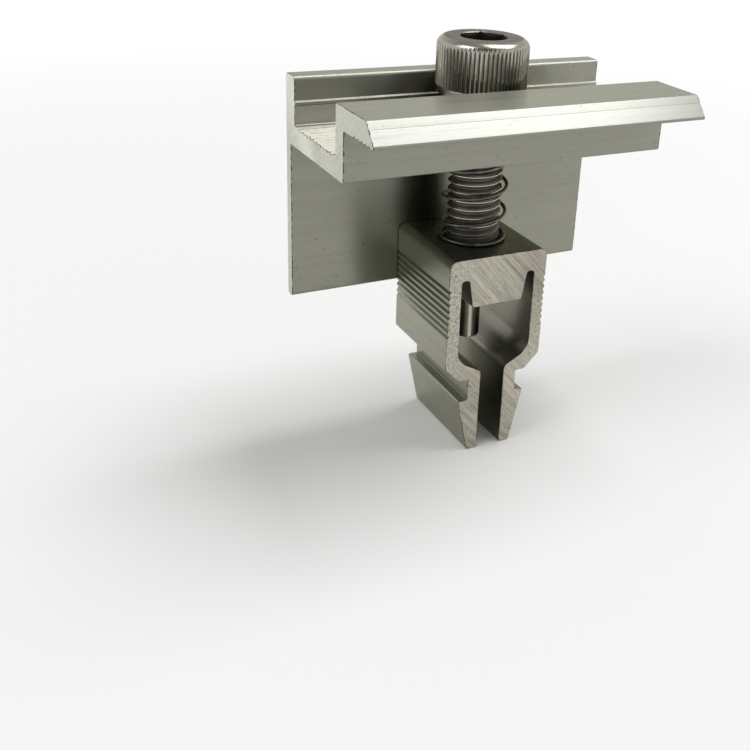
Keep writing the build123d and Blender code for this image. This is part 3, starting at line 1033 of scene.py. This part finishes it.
class OBJECT_OT_add_rail_nut(bpy.types.Operator):
    """Add the click-in nut with its bore, grooves, feet and barbed legs."""

    bl_idname = "object.add_rail_nut"
    bl_label = "Add Rail Nut"

    def execute(self, context):
        sizes, finishes = context.scene.rail_nut_sizes, context.scene.end_clamp_finishes
        low, high, edge = NUT_LOW.y, NUT_HIGH.y, sizes.soft_edge
        mesh = extruded_mesh("rail_nut", nut_corners(sizes), low, high, edge, "Y")
        bore, top = sizes.bore_diameter / 2, NUT_HIGH.z
        below_boss, above_top = top - sizes.boss_depth - MM, top + MM
        mouth = bore + sizes.mouth_chamfer
        mesh = drilled(mesh, [(0, below_boss), (bore, below_boss), (bore, top - sizes.mouth_chamfer),
                              (mouth, top), (mouth, above_top), (0, above_top)])
        blade = ((0.74, 0, 0.67), (-0.67, 0, 0.74))
        mesh.materials.append(extruded_aluminium(finishes, "nut", "Y", high, edge, blade, nut_shades(sizes)))
        piece = add_piece("dressed_rail_nut", mesh, "rail_nut", "nut")
        flat_shading(piece)
        return {"FINISHED"}


class OBJECT_OT_add_clamp_screw(bpy.types.Operator):
    """Add the socket head screw with its knurl, socket, thread and dog point."""

    bl_idname = "object.add_clamp_screw"
    bl_label = "Add Clamp Screw"

    def execute(self, context):
        sizes = context.scene.clamp_screw_sizes
        mesh = grid_mesh("clamp_bolt", screw_head_rows(sizes), screw_shank_rows(sizes), sharp_degrees=38)
        mesh.materials.append(screw_steel(context.scene.end_clamp_finishes, sizes))
        add_piece("dressed_clamp_bolt", mesh, "clamp_bolt", "screw")
        return {"FINISHED"}


class OBJECT_OT_add_split_washer(bpy.types.Operator):
    """Add the split washer between the clamp's floor and the screw's head."""

    bl_idname = "object.add_split_washer"
    bl_label = "Add Split Washer"

    def execute(self, context):
        mesh = grid_mesh("lock_washer", washer_rows(context.scene.split_washer_sizes))
        mesh.materials.append(washer_steel(context.scene.end_clamp_finishes))
        piece = add_piece("dressed_lock_washer", mesh, "lock_washer", "clamp")
        flat_shading(piece)
        return {"FINISHED"}


class OBJECT_OT_add_lift_spring(bpy.types.Operator):
    """Add the spring that lifts the clamp off the nut."""

    bl_idname = "object.add_lift_spring"
    bl_label = "Add Lift Spring"

    def execute(self, context):
        mesh = grid_mesh("lift_spring", spring_rows(context.scene.lift_spring_sizes))
        mesh.materials.append(spring_steel(context.scene.end_clamp_finishes))
        piece = add_piece("dressed_lift_spring", mesh, "lift_spring", "nut")
        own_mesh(piece)
        return {"FINISHED"}


def placed(name, data, right, up, back, place):
    """A lamp or a camera in the scene, with its axes and its place."""
    holder = bpy.data.objects.new(name, data)
    bpy.context.scene.collection.objects.link(holder)
    holder.matrix_world = Matrix(np.stack([right, up, back, place], 1).tolist()).to_4x4()
    return holder


def add_softbox(name, towards, reach, width, power):
    """An area lamp that looks at the clamp from a direction, at a distance."""
    centre = np.array([0, 0, 25]) * MM
    lamp = bpy.data.lights.new(name, "AREA")
    lamp.shape = "SQUARE"
    lamp.size = width
    lamp.energy = power
    lamp.color = (0.95, 0.95, 1)
    direction = np.array(towards) / np.linalg.norm(towards)
    side = np.cross([0, 0, 1], direction)
    side /= np.linalg.norm(side)
    placed(name, lamp, side, np.cross(direction, side), direction, centre + reach * direction)


def add_camera():
    """A camera at the photograph's viewing angle.

    It looks at a point in the clamp's plane from an azimuth, an elevation and a distance, leans by a
    small roll, and its shift is the picture's centre less the optical centre over the picture's width.
    """
    azimuth, elevation, roll = np.radians([-31.06, 22.405, 3.804])
    target, reach = np.array([2.664, 0, 13.876]) * MM, 159.107 * MM
    focal_pixels, centre_across, centre_down = 1045.261, 485.148, 266.761
    back = np.array([math.sin(azimuth) * math.cos(elevation), -math.cos(azimuth) * math.cos(elevation),
                     math.sin(elevation)])
    level = np.array([math.cos(azimuth), math.sin(azimuth), 0])
    rise = np.cross(back, level)
    right = math.cos(roll) * level + math.sin(roll) * rise
    up = math.cos(roll) * rise - math.sin(roll) * level
    camera = bpy.data.cameras.new("camera")
    camera.sensor_width = 36
    camera.lens = focal_pixels * camera.sensor_width / PHOTO_WIDTH
    camera.shift_x = (PHOTO_WIDTH / 2 - centre_across) / PHOTO_WIDTH
    camera.shift_y = (centre_down - PHOTO_WIDTH / 2) / PHOTO_WIDTH
    camera.clip_start = 0.005
    camera.clip_end = 20
    bpy.context.scene.camera = placed("camera", camera, right, up, back, target + back * reach)


def ray_kinds(tree):
    """One for rays from the camera, and one for rays that metal or glass sends out."""
    path = tree.nodes.new("ShaderNodeLightPath").outputs
    return path["Is Camera Ray"], highest(path["Is Glossy Ray"], path["Is Transmission Ray"])


def add_floor(finishes):
    """A wide pale floor under the nut's legs that goes over to white away from the clamp."""
    clearance = 0.02 * MM
    radii = (0, 0.1, 0.5, 1.5, 3.0)
    white_from, white_at = 0.07, 0.3
    rows = lathed([(radius, NUT_LOW.z - clearance) for radius in radii], circle(64))
    mesh = bpy.data.meshes.new("floor")
    mesh.from_pydata(rows.reshape(-1, 3).tolist(), [], grid_faces(*rows.shape[:2]).tolist())
    material, shader, place = new_material("floor")
    away = remap(length(place), white_from, white_at)
    glow = times(away, highest(*ray_kinds(shader.id_data)))
    fill(shader, {
        "Base Color": blended(glow, opaque(finishes.floor), (0, 0, 0, 1)),
        "Emission Strength": glow,
        "Emission Color": (1, 1, 1, 1),
        "Roughness": 0.9,
        "Specular IOR Level": 0.0,
    })
    mesh.materials.append(material)
    floor = bpy.data.objects.new("floor", mesh)
    bpy.context.scene.collection.objects.link(floor)


def set_world():
    """A world that the camera sees white and that lights dimly.

    Metal sees it white round the horizon, grey overhead and dark behind the camera.
    """
    overhead, behind_camera, light = 0.35, 0.12, 0.35
    camera_side = (-0.44, -0.77, 0.46)
    world = bpy.data.worlds.new("studio")
    bpy.context.scene.world = world
    world.use_nodes = True
    tree = world.node_tree
    tree.nodes.clear()
    direction = tree.nodes.new("ShaderNodeTexCoord").outputs["Generated"]
    dimmed_above = remap(separated(direction)["Z"], 0.22, 0.8, start=1.0, end=overhead)
    dimmed_behind = remap(dot(direction, camera_side), 0.8, 0.95, start=1.0, end=behind_camera)
    look = times(dimmed_above, dimmed_behind)
    from_camera, bounced = ray_kinds(tree)
    strength = blended(from_camera, blended(bounced, light, look, "FLOAT"), 1.0, "FLOAT")
    background = node("ShaderNodeBackground", {"Color": (1, 1, 1, 1), "Strength": strength})
    node("ShaderNodeOutputWorld", {"Surface": background.outputs[0]})


class SCENE_OT_add_end_clamp_stage(bpy.types.Operator):
    """Add the floor, the soft lamps, the world and the camera."""

    bl_idname = "scene.add_end_clamp_stage"
    bl_label = "Add Stage"

    def execute(self, context):
        context.scene.view_settings.view_transform = "Standard"
        add_floor(context.scene.end_clamp_finishes)
        set_world()
        add_softbox("key_softbox", (0.41, -0.06, 0.9), reach=0.8, width=0.5, power=4.3)
        add_softbox("left_softbox", (-0.68, -0.08, 0.73), reach=0.8, width=0.45, power=1.9)
        add_camera()
        return {"FINISHED"}


class VIEW3D_PT_end_clamp(bpy.types.Panel):
    """Sizes, colours and buttons of the solar end clamp."""

    bl_idname = "VIEW3D_PT_end_clamp"
    bl_label = "Solar End Clamp"
    bl_space_type = "VIEW_3D"
    bl_region_type = "UI"
    bl_category = "End Clamp"

    def draw(self, context):
        scene = context.scene
        for button, holder in PIECES:
            box = self.layout.box()
            box.operator(button)
            group = getattr(scene, holder)
            for name in group.__annotations__:
                box.prop(group, name)
        self.layout.operator("scene.add_end_clamp_stage")
        for name in scene.end_clamp_finishes.__annotations__:
            self.layout.prop(scene.end_clamp_finishes, name)


PIECES = (
    ("object.add_end_clamp", "end_clamp_sizes"),
    ("object.add_rail_nut", "rail_nut_sizes"),
    ("object.add_clamp_screw", "clamp_screw_sizes"),
    ("object.add_split_washer", "split_washer_sizes"),
    ("object.add_lift_spring", "lift_spring_sizes"),
)
HOLDERS = {
    "end_clamp_sizes": EndClampSizes,
    "rail_nut_sizes": RailNutSizes,
    "clamp_screw_sizes": ScrewSizes,
    "split_washer_sizes": WasherSizes,
    "lift_spring_sizes": SpringSizes,
    "end_clamp_finishes": Finishes,
}
CLASSES = (
    *HOLDERS.values(),
    OBJECT_OT_add_end_clamp,
    OBJECT_OT_add_rail_nut,
    OBJECT_OT_add_clamp_screw,
    OBJECT_OT_add_split_washer,
    OBJECT_OT_add_lift_spring,
    SCENE_OT_add_end_clamp_stage,
    VIEW3D_PT_end_clamp,
)


def register():
    """Register the classes and hang the property groups on the scene."""
    for kind in CLASSES:
        bpy.utils.register_class(kind)
    for holder, kind in HOLDERS.items():
        setattr(bpy.types.Scene, holder, PointerProperty(type=kind))


def unregister():
    """Take the property groups and the classes away again."""
    for holder in HOLDERS:
        delattr(bpy.types.Scene, holder)
    for kind in reversed(CLASSES):
        bpy.utils.unregister_class(kind)


def main():
    """Build every piece and the stage."""
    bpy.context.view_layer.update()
    register()
    bpy.ops.object.add_end_clamp()
    bpy.ops.object.add_rail_nut()
    bpy.ops.object.add_clamp_screw()
    bpy.ops.object.add_split_washer()
    bpy.ops.object.add_lift_spring()
    bpy.ops.scene.add_end_clamp_stage()


if __name__ == "__main__":
    main()
